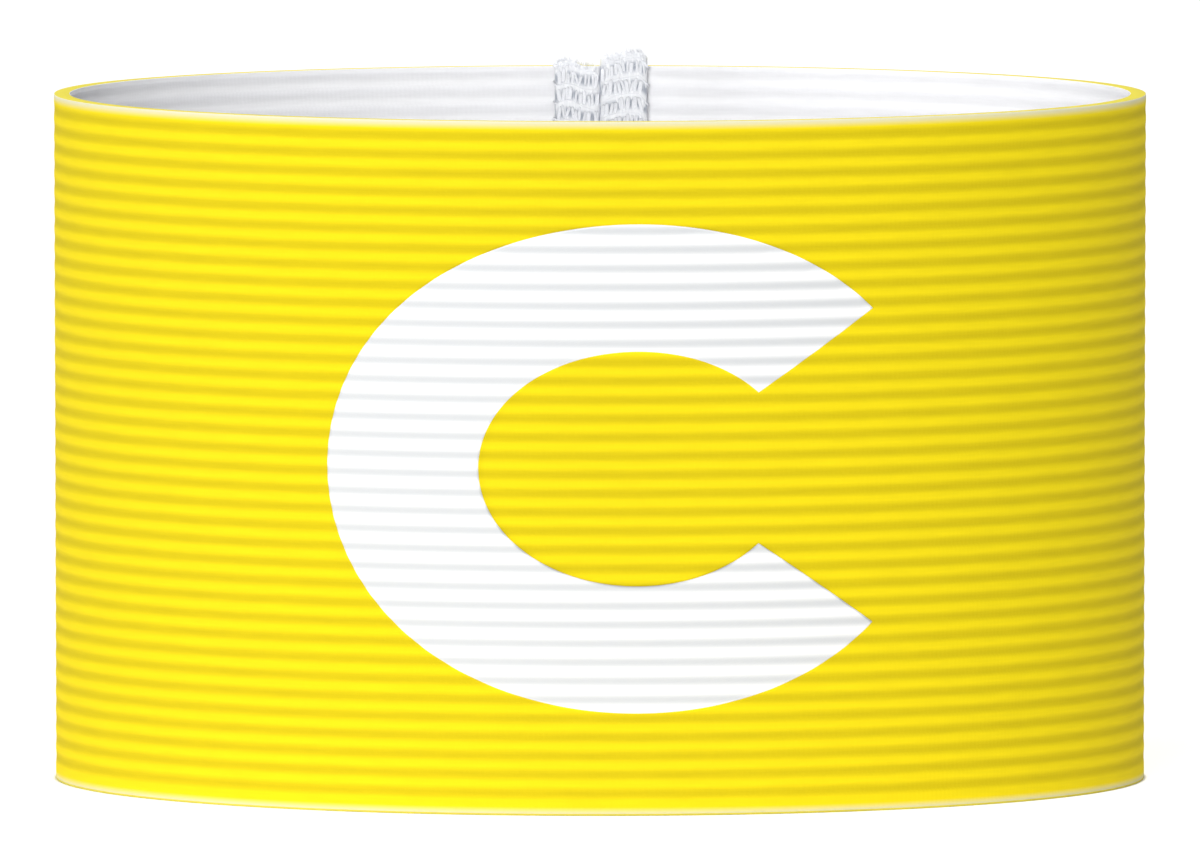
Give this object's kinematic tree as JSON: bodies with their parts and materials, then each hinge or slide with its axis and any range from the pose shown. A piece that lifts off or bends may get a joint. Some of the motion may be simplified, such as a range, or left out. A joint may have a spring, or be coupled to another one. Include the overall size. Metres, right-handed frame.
{
  "type": "captain armband",
  "caption": "Endless armband of ribbed elastic, yellow outside and white inside, with a plain captain's letter on the front and a seam turned in at the back.",
  "frame": {"origin": "middle of the ring on the plane of its lower rim", "axes": "+Z is the ring's axis, from the lower rim to the upper one, the letter faces -Y, and the seam is at +Y"},
  "size_m": [0.1035, 0.1041, 0.0665],
  "materials": {
    "ribbed_elastic": "ribbed woven elastic with a yellow face and a white back",
    "letter_film": "matt white flex film pressed into the ribs",
    "seam_thread": "white polyester overlock thread"
  },
  "bodies": {
    "root": {"elastic_band": "ribbed_elastic", "captain_letter": "letter_film"}
  },
  "joints": []
}
